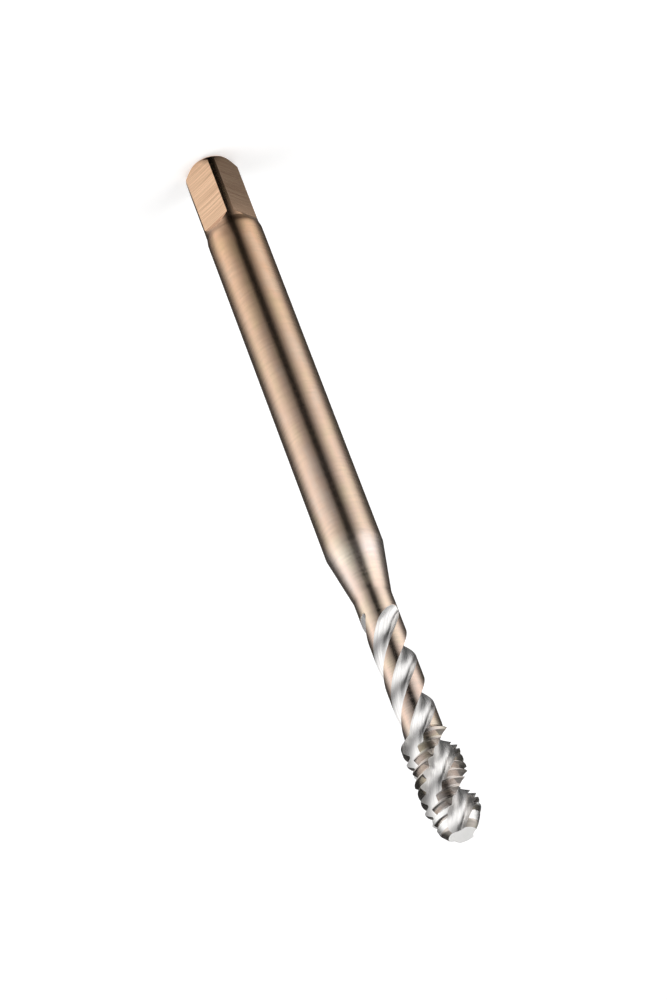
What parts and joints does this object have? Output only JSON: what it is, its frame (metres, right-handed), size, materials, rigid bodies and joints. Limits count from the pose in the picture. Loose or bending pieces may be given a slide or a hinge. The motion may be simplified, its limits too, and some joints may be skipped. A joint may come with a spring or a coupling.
{
  "type": "thread tap",
  "caption": "Spiral-flute machine tap for metric threads, with a reinforced shank, a thin neck and a drive square on its end.",
  "frame": {"origin": "centre of the end face of the drive square", "axes": "+Z along the tool's axis from the drive square towards the cutting end; X and Y are square to the flats of the drive square"},
  "size_m": [0.0044, 0.0044, 0.0634],
  "materials": {
    "tool_steel": "ground high-speed steel with a thin bronze-coloured oxide skin, bright in the flutes and on the ground lead"
  },
  "bodies": {
    "root": {"thread_tap": "tool_steel"}
  },
  "joints": []
}
